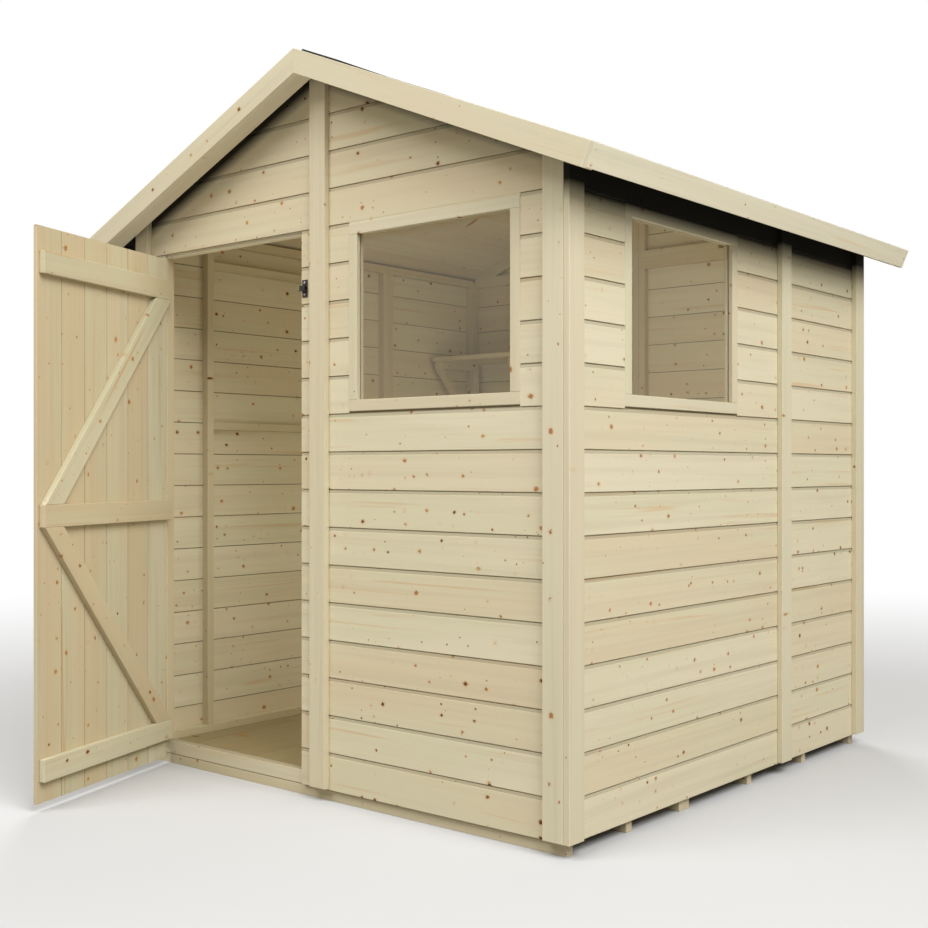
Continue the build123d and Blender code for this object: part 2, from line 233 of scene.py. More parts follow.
def saw_to_roof(piece, below=deck_thick):
    """Saws the top of a piece to both roof slopes, at a depth square to the deck's top."""
    for side in (-1, 1):
        normal = slope_normal(side)
        point = Vector((0, 0, ridge - below / math.cos(roof_pitch)))
        reach = max((vertex.co - point).dot(normal) for vertex in piece.data.vertices)
        if reach > near / 100:
            saw(piece, point, normal)
    return piece


def shift(piece, matrix):
    """Moves a mesh in place, with its object left at the origin."""
    piece.data.transform(matrix)
    return piece


def again(piece):
    """Another of the same piece, with a mesh of its own."""
    other = piece.copy()
    other.data = piece.data.copy()
    bpy.context.scene.collection.objects.link(other)
    return other


def set_tone(piece, name, tone):
    """Gives each point of a piece a value that its finish reads by name."""
    values = piece.data.attributes.new(name, "FLOAT", "POINT")
    for vertex in piece.data.vertices:
        values.data[vertex.index].value = tone(vertex)
    return piece


def ramp(value, low, high):
    """How far a value is on the way from one limit to another, from nought to one."""
    return min(max((value - low) / (high - low), 0.0), 1.0)


def set_grain(piece, along, pick=lot, least_shade=0.0):
    """Gives each point its place along, across and through the timber, and the timber a shade."""
    along = Vector(along).normalized()
    across = Vector((0, 0, 1)) if abs(along.z) < 0.7 else Vector((1, 0, 0))
    across = (across - along * across.dot(along)).normalized()
    basis = np.array([along, across, along.cross(across)])
    places = np.array([vertex.co for vertex in piece.data.vertices])
    start = np.array([pick.uniform(0, 60) for axis in range(3)])
    grain = piece.data.attributes.new("grain", "FLOAT_VECTOR", "POINT")
    grain.data.foreach_set("vector", (places @ basis.T + start).astype(np.float32).ravel())
    shade = max(least_shade, pick.random())
    return set_tone(piece, "shade", lambda vertex: shade)


def timber(low, high, along, arris=sawn_arris):
    """A sawn timber between two corners with its arrises eased."""
    return set_grain(ease(block(low, high), arris), along)


def slope_timber(run, depth, width, side, arris=sawn_arris, along=None, start=None):
    """A timber on a roof slope: its run from the ridge, its depth from the deck's top, its Y."""
    low, high = (run[0], run[1]) if side > 0 else (-run[1], -run[0])
    piece = ease(block((low, width[0], -depth[1]), (high, width[1], -depth[0])), arris)
    set_grain(piece, along or (1, 0, 0))
    shift(piece, Matrix.Translation((0, 0, ridge)) @ Matrix.Rotation(side * roof_pitch, 4, "Y"))
    if start is not None:
        saw(piece, (side * start, 0, 0), (-side, 0, 0))
    return piece


def solids_of(node):
    """Lowest and highest corner of each separate solid in a node."""
    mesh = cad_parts[node].data
    places = {}
    spot = []
    for vertex in mesh.vertices:
        key = tuple(round(value, 5) for value in vertex.co)
        spot.append(places.setdefault(key, len(places)))
    leader = list(range(len(places)))

    def top(index):
        while leader[index] != index:
            leader[index] = leader[leader[index]]
            index = leader[index]
        return index

    for edge in mesh.edges:
        first, second = (top(spot[index]) for index in edge.vertices)
        leader[first] = second
    groups = {}
    for key, index in places.items():
        groups.setdefault(top(index), []).append(key)
    boxes = []
    for points in groups.values():
        points = np.array(points)
        boxes.append((points.min(0), points.max(0)))
    return sorted(boxes, key=lambda box: tuple(box[0]))


def timbers_of(node, below=deck_thick, arris=sawn_arris):
    """Eased timbers in place of a node's squared ones, each with the grain along its length."""
    made = []
    for low, high in solids_of(node):
        piece = ease(block(low, high), arris)
        saw_to_roof(piece, below)
        along = [0, 0, 0]
        along[int(np.argmax(high - low))] = 1
        made.append(set_grain(piece, along))
    return made


def done(pieces, name, finish, body="shed", nodes=()):
    """Joins pieces into one object, gives it its finish and hangs it on its body."""
    clear()
    for piece in pieces:
        piece.select_set(True)
    bpy.context.view_layer.objects.active = pieces[0]
    if len(pieces) > 1:
        bpy.ops.object.join()
    whole = bpy.context.view_layer.objects.active
    whole.name = name
    whole.data.name = name
    whole.data.materials.clear()
    whole.data.materials.append(finish)
    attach(whole, body)
    if nodes:
        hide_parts(*nodes)
    return whole


# Finishes

class Tone:
    """A value of a shader; sums, products and the greater of two tones add Math nodes."""

    def __init__(self, tree, socket):
        self.tree = tree
        self.socket = socket

    def work(self, operation, first, second):
        return self.tree.add("ShaderNodeMath", {"operation": operation}, {0: first, 1: second})[0]

    def __add__(self, other):
        return self.work("ADD", self, other)

    __radd__ = __add__

    def __mul__(self, other):
        return self.work("MULTIPLY", self, other)

    __rmul__ = __mul__

    def __sub__(self, other):
        return self.work("SUBTRACT", self, other)

    def __rsub__(self, other):
        return self.work("SUBTRACT", other, self)

    def __or__(self, other):
        return self.work("MAXIMUM", self, other)

    def __gt__(self, other):
        return self.work("GREATER_THAN", self, other)


class Tree:
    """The shader of a material or of the world, built up node by node."""

    def __init__(self, owner):
        owner.use_nodes = True
        self.nodes = owner.node_tree.nodes
        self.links = owner.node_tree.links

    def add(self, kind, settings, sockets):
        """Adds a node with its settings, feeds its sockets and gives its outputs as tones."""
        node = self.nodes.new(kind)
        for name, value in settings.items():
            setattr(node, name, value)
        for name, value in sockets.items():
            self.feed(node.inputs[name], value)
        return [Tone(self, socket) for socket in node.outputs]

    def feed(self, socket, value):
        if isinstance(value, Tone):
            self.links.new(value.socket, socket)
        elif socket.type == "RGBA":
            socket.default_value = (*value, 1)
        else:
            socket.default_value = value

    def mix(self, share, first, second):
        """One colour over another, by a share."""
        sockets = {0: share, 6: first, 7: second}
        return self.add("ShaderNodeMix", {"data_type": "RGBA"}, sockets)[2]


class Finish(Tree):
    """A material with the steps that finishes share."""

    def __init__(self, name, roughness, specular=0.5):
        self.material = bpy.data.materials.new(name)
        super().__init__(self.material)
        self.shader = self.nodes["Principled BSDF"]
        self.shader.inputs["Roughness"].default_value = roughness
        self.shader.inputs["Specular IOR Level"].default_value = specular

    def place(self):
        """Where a point is in the frame."""
        return self.add("ShaderNodeTexCoord", {}, {})[3]

    def length(self, place):
        return self.add("ShaderNodeVectorMath", {"operation": "LENGTH"}, {0: place})[1]

    def noise(self, place, scale, detail=2.0, rough=0.5, warp=0.0):
        sockets = {"Vector": place, "Scale": scale, "Detail": detail, "Roughness": rough}
        return self.add("ShaderNodeTexNoise", {}, {**sockets, "Distortion": warp})[0]

    def read(self, name):
        """A value or a place that the points of a piece carry."""
        vector, value = self.add("ShaderNodeAttribute", {"attribute_name": name}, {})[1:3]
        return vector if name == "grain" else value

    def stretch(self, place, scale):
        return self.add("ShaderNodeVectorMath", {"operation": "MULTIPLY"}, {0: place, 1: scale})[0]

    def fade(self, value, low, high):
        """Nought below one limit and one above the other, eased between them."""
        sockets = {"Value": value, "From Min": low, "From Max": high}
        return self.add("ShaderNodeMapRange", {"interpolation_type": "SMOOTHSTEP"}, sockets)[0]

    def bump(self, height, strength, distance):
        sockets = {"Height": height, "Strength": strength, "Distance": distance}
        self.feed(self.shader.inputs["Normal"], self.add("ShaderNodeBump", {}, sockets)[0])

    def colour(self, value):
        self.feed(self.shader.inputs["Base Color"], value)

    def roughness(self, value):
        self.feed(self.shader.inputs["Roughness"], value)


knot_colours = ((0.47, 0.205, 0.048), (0.22, 0.085, 0.026))
pin_colours = ((0.30, 0.120, 0.045), (0.060, 0.032, 0.018))
pith_colour = (0.070, 0.028, 0.014)
# Dark of joints, and of painted shadow and shade in the gap under a sill and on the threshold's top
seam_and_painted_shade_colour = (0.075, 0.052, 0.016)
# Pale colour of painted light on bargeboards and the lintel rail
painted_light_colour = (0.88, 0.81, 0.63)
# Near black of the painted shade under the eaves and verges
eaves_painted_shadow_colour = (0.003, 0.003, 0.002)


def pine(name, pale, warm, green, knots, streaks, sawn=0.0):
    """Softwood: its shade from board to board, grain streaks, resin lines and knots."""
    finish = Finish(name, roughness=0.7, specular=0.10)
    grain = finish.read("grain")
    shade = finish.read("shade")
    cloud = finish.noise(finish.stretch(grain, (1.1, 7.0, 7.0)), 1.0, 2.0)
    band = finish.noise(finish.stretch(grain, (0.8, 38.0, 38.0)), 1.0, 3.0, 0.6, 0.4)
    fibre = finish.noise(finish.stretch(grain, (5.0, 330.0, 330.0)), 1.0, 2.0, 0.6)
    resin = finish.noise(finish.stretch(grain, (1.6, 62.0, 30.0)), 1.0, 1.0, 0.5, 0.6)

    def spots(across, share):
        """Knots through the timber: how far the nearest is, if it is kept, its size and kind."""
        dense = Vector((0.9 * across, across, 0.5 * across))
        cells = finish.stretch(grain, dense)
        found = finish.add("ShaderNodeTexVoronoi", {}, {"Vector": cells, "Scale": 1.0})
        settings = {"operation": "SUBTRACT"}
        away = finish.add("ShaderNodeVectorMath", settings, {0: cells, 1: found[2]})[0]
        away = finish.stretch(away, (0.85 / dense.x, 1 / dense.y, 0.2 / dense.z))
        distance = finish.length(away)
        kept, size, kind = finish.add("ShaderNodeSeparateColor", {}, {"Color": found[1]})
        return distance, kept > 1 - share, size, kind

    distance, present, size, kind = spots(26.0, knots)
    ragged = distance * (0.25 + 1.50 * finish.noise(grain, 230.0, 2.0))
    radius = 0.0020 + 0.0052 * size * size * size
    heart = (1 - finish.fade(ragged, radius * 0.80, radius * 1.02)) * present
    pith = (1 - finish.fade(ragged, radius * 0.35, radius * 0.70)) * present * (kind > 0.55)
    glow = (1 - finish.fade(ragged, radius * 0.9, radius * 2.0)) * present
    distance, present, size, kind_of_pin = spots(60.0, knots * 0.10)
    pin = (1 - finish.fade(distance, 0.0006 + 0.0006 * size, 0.0012 + 0.0010 * size)) * present

    wood = finish.mix(finish.fade(shade, 0.15, 0.85), pale, warm)
    wood = finish.mix(finish.fade(cloud, 0.38, 0.66) * 0.75, wood, green)
    darker = tuple(value * 0.80 for value in warm)
    wood = finish.mix(finish.fade(band, 0.42, 0.72) * 0.30, wood, darker)
    wood = finish.mix(finish.fade(fibre, 0.35, 0.75) * (0.10 + sawn), wood, darker)
    amber = (warm[0] * 0.92, warm[1] * 0.66, warm[2] * 0.46)
    line = finish.fade(resin, 0.62, 0.74) * finish.fade(cloud, 0.40, 0.62)
    wood = finish.mix(line * streaks, wood, amber)
    # Painted light: pale on a bargeboard's end and underside and on the lintel rail
    wood = finish.mix(finish.read("painted_light"), wood, painted_light_colour)
    wood = finish.mix(glow * 0.32, wood, amber)
    wood = finish.mix(heart * 0.88, wood, finish.mix(kind, *knot_colours))
    wood = finish.mix(pin * 0.75, wood, finish.mix(kind_of_pin, *pin_colours))
    wood = finish.mix(pith * 0.85, wood, pith_colour)
    # Dark joints, and painted shadow and shade where a piece's points say
    wood = finish.mix(finish.read("seam_and_painted_shade") * 0.85, wood, seam_and_painted_shade_colour)
    # Painted shade: timber goes near black by its eaves value, close under the eaves and verges
    wood = finish.mix(finish.read("eaves") * 0.98, wood, eaves_painted_shadow_colour)
    finish.colour(wood)
    finish.roughness(0.62 + 0.18 * fibre - 0.1 * heart)
    finish.bump(fibre * 0.6 + band * 0.25 - heart * 0.5, 0.25, 0.0007)
    return finish.material


def roof_felt():
    """Black mineral felt with a gritty face."""
    finish = Finish("black_mineral_felt", roughness=0.9, specular=0.3)
    place = finish.place()
    grit = finish.noise(place, 900.0, 2.0, 0.7)
    patch = finish.noise(place, 2.2, 3.0)
    black = finish.mix(finish.fade(patch, 0.35, 0.7), (0.016, 0.016, 0.018), (0.030, 0.030, 0.032))
    finish.colour(finish.mix(finish.fade(grit, 0.55, 0.75) * 0.6, black, (0.085, 0.085, 0.088)))
    finish.roughness(0.82 + 0.15 * grit)
    finish.bump(grit, 0.5, 0.0012)
    return finish.material


def black_iron():
    """Black coated hardware, a little rubbed."""
    finish = Finish("black_coated_iron", roughness=0.42)
    place = finish.place()
    rub = finish.noise(place, 60.0, 4.0, 0.6)
    grain = finish.noise(place, 1400.0, 1.0)
    worn = finish.fade(rub, 0.58, 0.78) * 0.5
    finish.colour(finish.mix(worn, (0.012, 0.012, 0.013), (0.060, 0.052, 0.046)))
    finish.roughness(0.36 + 0.3 * rub)
    finish.bump(grain, 0.15, 0.0003)
    return finish.material


def bright_zinc():
    """Plated screws and nail heads."""
    finish = Finish("bright_zinc", roughness=0.35)
    finish.shader.inputs["Metallic"].default_value = 1.0
    place = finish.place()
    bloom = finish.noise(place, 420.0, 2.0)
    finish.colour(finish.mix(bloom, (0.56, 0.56, 0.55), (0.40, 0.40, 0.40)))
    finish.roughness(0.28 + 0.25 * bloom)
    return finish.material


def pane_sheet():
    """Clear glazing sheet with a slight grey veil."""
    finish = Finish("clear_glazing_sheet", roughness=0.06)
    place = finish.place()
    veil = finish.noise(place, 3.0, 2.0)
    finish.colour(finish.mix(veil, (0.66, 0.66, 0.63), (0.72, 0.72, 0.70)))
    finish.feed(finish.shader.inputs["Alpha"], 0.045 + 0.01 * veil)
    return finish.material


cladding_pine = pine(
    "cladding_pine", (0.745, 0.680, 0.500), (0.700, 0.596, 0.412), (0.685, 0.640, 0.450),
    knots=0.46, streaks=0.45,
)
door_pine = pine(
    "door_pine", (0.640, 0.583, 0.418), (0.588, 0.484, 0.314), (0.572, 0.545, 0.374),
    knots=0.36, streaks=0.70,
)
trim_pine = pine(
    "trim_pine", (0.705, 0.645, 0.480), (0.675, 0.595, 0.425), (0.665, 0.620, 0.445),
    knots=0.22, streaks=0.30,
)
# A paler copy of the trim pine for the fascias and verge battens, which face down: painted light
painted_light_fascia_pine = pine(
    "painted_light_fascia_pine", (0.900, 0.835, 0.655), (0.870, 0.795, 0.605), (0.860, 0.805, 0.615),
    knots=0.20, streaks=0.30,
)
framing_pine = pine(
    "framing_pine", (0.660, 0.575, 0.385), (0.620, 0.515, 0.330), (0.600, 0.545, 0.355),
    knots=0.30, streaks=0.40, sawn=0.06,
)
floor_pine = pine(
    "floor_pine", (0.700, 0.625, 0.440), (0.655, 0.560, 0.380), (0.640, 0.590, 0.400),
    knots=0.30, streaks=0.35, sawn=0.10,
)
board_pine = pine(
    "floor_board_pine", (0.385, 0.312, 0.172), (0.355, 0.278, 0.150), (0.348, 0.295, 0.161),
    knots=0.28, streaks=0.35, sawn=0.10,
)
deck_pine = pine(
    "deck_pine", (0.700, 0.620, 0.450), (0.660, 0.555, 0.380), (0.650, 0.590, 0.410),
    knots=0.50, streaks=0.35, sawn=0.10,
)
shelf_pine = pine(
    "shelf_pine", (0.690, 0.610, 0.430), (0.650, 0.550, 0.370), (0.640, 0.580, 0.390),
    knots=0.22, streaks=0.35,
)
felt_finish = roof_felt()
iron_finish = black_iron()
zinc_finish = bright_zinc()
pane_finish = pane_sheet()


# Wall boards

def shiplap_board():
    """A metre of board, outer face at Y nought, with a rebate and a slot along its top."""
    piece = block((0, 0, 0), (1, cladding, board_pitch))
    heights = [board_pitch - drop for drop in joint_drops]
    for height in heights:
        saw(piece, (0, 0, height), (0, 0, 1), keep_both=True)
    for height, depth in zip(heights + [board_pitch], joint_recess):
        choose(piece, "VERT", lambda point: point.co.y < near and abs(point.co.z - height) < near)
        bpy.ops.transform.translate(value=(0, depth, 0))
    bpy.ops.object.mode_set(mode="OBJECT")
    ease(piece, planed_arris, lambda edge: all(v.co.y < near and v.co.z < near for v in edge.verts))
    below_slot = inner_slot_height - near
    for height in (below_slot, inner_slot_height):
        saw(piece, (0, 0, height), (0, 0, 1), keep_both=True)
    below_slot += near / 2
    choose(piece, "VERT", lambda point: point.co.y > cladding - near and point.co.z < below_slot)
    bpy.ops.transform.translate(value=(0, -inner_slot_depth, 0))
    bpy.ops.object.mode_set(mode="OBJECT")
    strip_depth, slot_depth = joint_recess[1], joint_recess[-1]

    def joint_tone(vertex):
        across, up = vertex.co.y, vertex.co.z
        if abs(across - cladding + inner_slot_depth) < near and up < inner_slot_height:
            return joint_gap_and_sill_shadow_dark
        if abs(across - strip_depth) < near and up > heights[0]:
            return strip_dark
        return slot_dark if abs(across - slot_depth) < near else 0.0

    return set_tone(piece, "seam_and_painted_shade", joint_tone)


wall_turns = {
    "front": Matrix.Translation((0, -half_depth, 0)),
    "right": Matrix.Translation((half_width, 0, 0)) @ Matrix.Rotation(math.pi / 2, 4, "Z"),
    "back": Matrix.Translation((0, half_depth, 0)) @ Matrix.Rotation(math.pi, 4, "Z"),
    "left": Matrix.Translation((-half_width, 0, 0)) @ Matrix.Rotation(-math.pi / 2, 4, "Z"),
}
master_board = shiplap_board()


def paint_shade_under_eaves(piece, heights=eaves_painted_shade_heights, deepest=barge_y):
    """Paints shade on the top of a side wall's timber under the eaves, as far in as a depth in Y.
    """
    tops = [vertex.co.z for vertex in piece.data.vertices]
    for height in heights:
        if min(tops) < height < max(tops):
            saw(piece, (0, 0, height), (0, 0, 1), keep_both=True)

    def painted_eaves_shade_tone(vertex):
        return ramp(vertex.co.z, *heights) if vertex.co.y < deepest else 0.0

    return set_tone(piece, "eaves", painted_eaves_shade_tone)


def paint_shade_under_verge(piece, outer):
    """Paints shade on the outer face of gable boards close under the roof, by their drop below its
    top.
    """
    for side in (-1, 1):
        for drop in gable_painted_shade_drops:
            saw(piece, (0, 0, ridge - drop), slope_normal(side), keep_both=True)

    def painted_verge_shade_tone(vertex):
        drop = ridge - abs(vertex.co.x) * math.tan(roof_pitch) - vertex.co.z
        is_outside = outer * vertex.co.y > half_depth - cladding / 2
        return gable_painted_shade_dark * (1 - ramp(drop, *gable_painted_shade_drops)) if is_outside else 0.0

    return set_tone(piece, "eaves", painted_verge_shade_tone)


def sliver(across, depth, height, dark):
    """The thin strip of a board over or under a window: flush, or set back as a gap painted dark as
    shadow.
    """
    piece = block((across[0], depth[0], height[0]), (across[1], depth[1], height[1]))
    front = depth[0] + near
    ease(piece, fine_arris / 2, lambda edge: all(vertex.co.y < front for vertex in edge.verts), 1)
    return set_tone(piece, "seam_and_painted_shade", lambda vertex: dark)


def board_panel(node, wall, span, rows, opening=None, painted_shade_from_row=all_rows):
    """Boards over a span of a wall, cut round a window and under the roof, painted warmer and
    darker from a row on as shade under the roof's edge.
    """
    turn = wall_turns[wall]
    rebate = joint_drops[0]
    made = []
    for row in range(*rows):
        seed = "%s %d" % (node, row)
        bottom = board_bottom + row * board_pitch
        top = bottom + board_pitch
        cuts = [(span[0], span[1], None, None)]
        if opening and bottom < opening[3] and top > opening[2]:
            cuts = [(span[0], opening[0], None, None), (opening[1], span[1], None, None)]
            if bottom < opening[2]:
                cuts.append((opening[0], opening[1], None, opening[2]))
            if top > opening[3]:
                cuts.append((opening[0], opening[1], opening[3], None))
        for start, end, above, under in cuts:
            # Under a sill the strip is set back and painted dark as shadow
            if under and under - bottom < rebate:
                board = sliver((start, end), (sill_gap_depth, cladding), (bottom, under), joint_gap_and_sill_shadow_dark)
            elif above and top - above < rebate:
                board = sliver((start, end), (0, cladding), (above, top), 0.0)
                seed = "%s %d" % (node, row + 1)
            else:
                board = again(master_board)
                stretch = Matrix.Diagonal((end - start, 1, 1, 1))
                shift(board, Matrix.Translation((start, 0, bottom)) @ stretch)
                if above:
                    saw(board, (0, 0, above), (0, 0, -1))
                if under:
                    saw(board, (0, 0, under), (0, 0, 1))
            # Painted shade on the top of side wall boards under the eaves
            if wall in ("left", "right"):
                paint_shade_under_eaves(board, deepest=cladding / 2)
            # Painted shade: from that row on, boards take the warmer, darker tone
            least_shade = upper_boards_painted_shade if row >= painted_shade_from_row else 0.0
            set_grain(board, (1, 0, 0), random.Random(seed), least_shade)
            made.append(shift(board, turn))
    whole = saw_to_roof(done(made, "boards_" + node, cladding_pine, nodes=(node,)))
    # Painted shade on the gable boards under the verge
    if rows[1] == all_rows:
        paint_shade_under_verge(whole, -1 if wall == "front" else 1)


left_half, right_half = (-half_width, -half_gap), (half_gap, half_width)
front_panel = (-frame_face, panel_split - half_gap)
rear_panel = (panel_split + half_gap, frame_face)
low_rows, high_rows = (0, lintel_row), (lintel_row, all_rows)
front_opening, side_opening = (*front_bay, *bay_z), (*side_bay, *bay_z)
board_panel("front_wall_hinge_side", "front", (-half_width, doorway[0]), low_rows)
board_panel("front_wall_latch_side", "front", (doorway[1], -half_gap), low_rows)
board_panel("front_wall_over_door", "front", left_half, high_rows, None, lintel_row)
board_panel("front_wall_window_side", "front", right_half, (0, all_rows), front_opening, lintel_row)
board_panel("right_wall_front", "right", front_panel, (0, side_rows), side_opening)
board_panel("right_wall_rear", "right", rear_panel, (0, side_rows))
board_panel("left_wall_front", "left", (-front_panel[1], -front_panel[0]), (0, side_rows))
board_panel("left_wall_rear", "left", (-rear_panel[1], -rear_panel[0]), (0, side_rows))
board_panel("back_wall_right", "back", left_half, (0, all_rows))
board_panel("back_wall_left", "back", right_half, (0, all_rows))
clear()
bpy.data.objects.remove(master_board)

# Trims and cover strips
for node in ("front_corner_trims", "back_corner_trims", "side_corner_trims", "cover_strips"):
    strips = timbers_of(node, arris=round_arris)
    # Painted shade on the tops of side corner trims under the eaves
    for strip in strips:
        if min(abs(vertex.co.x) for vertex in strip.data.vertices) > half_width - near:
            paint_shade_under_eaves(strip, strip_painted_shade_heights)
    done(strips, "planed_" + node, trim_pine, nodes=(node,))
for node in ("window_upright_trims", "window_head_and_sill_trims"):
    strips = timbers_of(node)
    # Painted shade on the side window's trims under the eaves
    for strip in strips:
        if min(vertex.co.x for vertex in strip.data.vertices) > frame_face - near:
            paint_shade_under_eaves(strip, head_painted_shade_heights)
    done(strips, "planed_" + node, trim_pine, nodes=(node,))

# Framing
for node, drop in (("side_rails", side_rail_drop), ("side_studs", 0.0)):
    sawn = timbers_of(node, deck_thick + drop)
    done(sawn, "sawn_" + node, framing_pine, nodes=(node,))
rails = []
thresholds = []
for low, high in solids_of("front_and_back_rails"):
    is_bottom_rail = low[2] < board_bottom + stud_depth
    if is_bottom_rail:
        low[2] = lip_bottom
    if is_bottom_rail and low[1] < 0:
        threshold = ease(block(low, high), planed_arris)
        top_face = high[2] - near
        # Painted shade: the threshold rail's top face is made darker
        set_tone(threshold, "seam_and_painted_shade", lambda vertex: threshold_top_painted_shade * (vertex.co.z > top_face))
        thresholds.append(set_grain(threshold, (1, 0, 0)))
        continue
    if high[2] > tie_top + near:
        reach = np.clip((low[0], high[0]), -gable_rail_reach, gable_rail_reach)
        gable_rail = (reach[0], low[1], tie_top), (reach[1], high[1], high[2])
        rails.append(timber(*gable_rail, (1, 0, 0)))
        high[2] = tie_top
    rail = saw_to_roof(ease(block(low, high), planed_arris))
    # Painted light: the lintel rail over the doorway is made wholly pale
    if abs(low[0] - doorway[0]) < near:
        set_tone(rail, "painted_light", lambda vertex: 1.0)
    rails.append(set_grain(rail, (1, 0, 0)))
done(rails, "sawn_front_and_back_rails", framing_pine, nodes=("front_and_back_rails",))
done(thresholds, "planed_front_threshold_rails", trim_pine)
studs = []
for low, high in solids_of("front_and_back_studs"):
    piece = ease(block(low, high), sawn_arris)
    is_king_post = abs(low[0]) < king_post_reach
    saw_to_roof(piece, deck_thick + rafter_height if is_king_post else deck_thick)
    studs.append(set_grain(piece, (0, 0, 1)))
done(studs, "sawn_front_and_back_studs", framing_pine, nodes=("front_and_back_studs",))
rafters = []
for side in (-1, 1):
    for y_range in ((-frame_face, -inner_face), (inner_face, frame_face)):
        rafter_depth = (deck_thick, deck_thick + rafter_height)
        rafter = slope_timber((0, rafter_run), rafter_depth, y_range, side, start=half_gap)
        saw(rafter, (0, 0, tie_top), (0, 0, -1))
        rafters.append(rafter)
done(rafters, "sawn_gable_rafters", framing_pine, nodes=("gable_rafters",))

# Window beads, four to each pane
beads = []
for wall, opening, bay in (("front", front_window, front_bay), ("right", side_window, side_bay)):
    depth = (cladding + pane_depth, cladding + pane_depth + bead_depth)
    lengths = [
        (bay, (bay_z[0], window_z[0]), (1, 0, 0)),
        (bay, (window_z[1], bay_z[1]), (1, 0, 0)),
        ((bay[0], opening[0]), window_z, (0, 0, 1)),
        ((opening[1], bay[1]), window_z, (0, 0, 1)),
    ]
    for across, height, along in lengths:
        low, high = zip(across, depth, height)
        bead = timber(low, high, along, fine_arris)
        beads.append(shift(bead, wall_turns[wall]))
done(beads, "planed_window_beads", framing_pine, nodes=("window_beads",))

# Floor: bearers and boards laid across them
bearers = timbers_of("floor_bearers", arris=planed_arris)
done(bearers, "sawn_floor_bearers", floor_pine, nodes=("floor_bearers",))
floor_boards = []
for low, high in solids_of("floor_panels"):
    low[1], high[1] = max(low[1], -inner_face), min(high[1], inner_face)
    width = (high[0] - low[0]) / floor_board_count
    for index in range(floor_board_count):
        start = low[0] + index * width
        corner = (start + width, high[1], high[2])
        floor_boards.append(timber((start, low[1], low[2]), corner, (0, 1, 0), planed_arris))
done(floor_boards, "tongued_floor_boards", board_pine, nodes=("floor_panels",))


# Roof

def paint_light_on_barge_end(piece, side):
    """Paints light on the lower end and the underside of a bargeboard, paler than its face."""
    down = Vector((side * math.cos(roof_pitch), 0, -math.sin(roof_pitch)))
    top = Vector((0, 0, ridge))
    limit = slope_length - barge_end_cut
    saw(piece, top + down * limit, down, keep_both=True)

    def painted_light_tone(vertex):
        place = vertex.co - top
        if place.dot(down) > limit + near / 10:
            return barge_end_painted_light
        return 1.0 if -place.dot(slope_normal(side)) > barge_height - near else 0.0

    return set_tone(piece, "painted_light", painted_light_tone)


deck_y, felt_width = (-barge_back_y, barge_back_y), (-felt_y, felt_y)
felt_courses = (
    ((lower_course_start, deck_length), (-felt_thick, 0.0)),
    ((-ridge_overlap, upper_course_end), (-felt_lap_top, -felt_thick)),
)
verges = []
for side, name in ((-1, "left"), (1, "right")):
    deck_boards = []
    width = deck_length / deck_board_count
    for index in range(deck_board_count):
        overlap, start = (0, None) if index else (ridge_overlap, ridge_gap)
        run = (index * width - overlap, (index + 1) * width)
        board = slope_timber(run, (0, deck_thick), deck_y, side, fine_arris, (0, 1, 0), start)
        deck_boards.append(board)
    node = "roof_deck_" + name
    done(deck_boards, "boards_" + node, deck_pine, nodes=(node,))
    courses = []
    for run, depth in felt_courses:
        start = ridge_gap if run[0] < 0 else None
        courses.append(slope_timber(run, depth, felt_width, side, felt_arris, (0, 1, 0), start))
    done(courses, "felt_courses_" + name, felt_finish, nodes=("roof_felt_" + name,))
    barges = []
    barge_run, verge_run = (-barge_overlap, slope_length), (-barge_overlap, deck_length)
    barge_depth, verge_depth = (0, barge_height), (deck_thick, barge_height)
    for y_sign in (-1, 1):
        faces = sorted((y_sign * barge_y, y_sign * barge_back_y))
        barge = slope_timber(barge_run, barge_depth, faces, side, planed_arris, start=ridge_gap)
        barges.append(paint_light_on_barge_end(barge, side))
        inner = sorted((y_sign * barge_back_y, y_sign * (barge_back_y - verge_batten_width)))
        verges.append(slope_timber(verge_run, verge_depth, inner, side, start=half_gap))
    node = "bargeboards_" + name
    done(barges, "planed_" + node, trim_pine, nodes=(node,))
done(verges, "sawn_verge_battens", painted_light_fascia_pine, nodes=("verge_battens",))
fascias = []
for side in (-1, 1):
    run, depth = (deck_length, slope_length), (0, fascia_height)
    fascias.append(slope_timber(run, depth, deck_y, side, planed_arris, (0, 1, 0)))
done(fascias, "planed_eaves_fascias", painted_light_fascia_pine, nodes=("eaves_fascias",))
caps = []
for side in (-1, 1):
    run = (-ridge_overlap, cap_run)
    caps.append(slope_timber(run, cap_depth, felt_width, side, cap_arris, (0, 1, 0), 0))
done(caps, "felt_ridge_cap", felt_finish, nodes=("ridge_felt",))

# Black felt under the overhang, between the walls and the boards of the roof's edge: a dark sheet
# put there to deepen the shade under the eaves and verges
lining = []
verge_inner = barge_back_y - verge_batten_width
lining_depth = (deck_thick, deck_thick + lining_thick)
eaves_run = (half_width / math.cos(roof_pitch), deck_length)
back_run = (deck_length - lining_thick, deck_length)
back_depth = (lining_depth[1], fascia_height - lining_setback)
eaves_pieces = ((eaves_run, lining_depth, half_depth), (back_run, back_depth, verge_inner))
for side in (-1, 1):
    for run, depth, reach in eaves_pieces:
        lining.append(slope_timber(run, depth, (-reach, reach), side, felt_arris, (0, 1, 0)))
    for y_range in ((-verge_inner, -half_depth), (half_depth, verge_inner)):
        run = (-ridge_overlap, deck_length)
        lining.append(slope_timber(run, lining_depth, y_range, side, felt_arris, start=half_gap))
done(lining, "black_felt_for_shade_under_overhang", felt_finish)

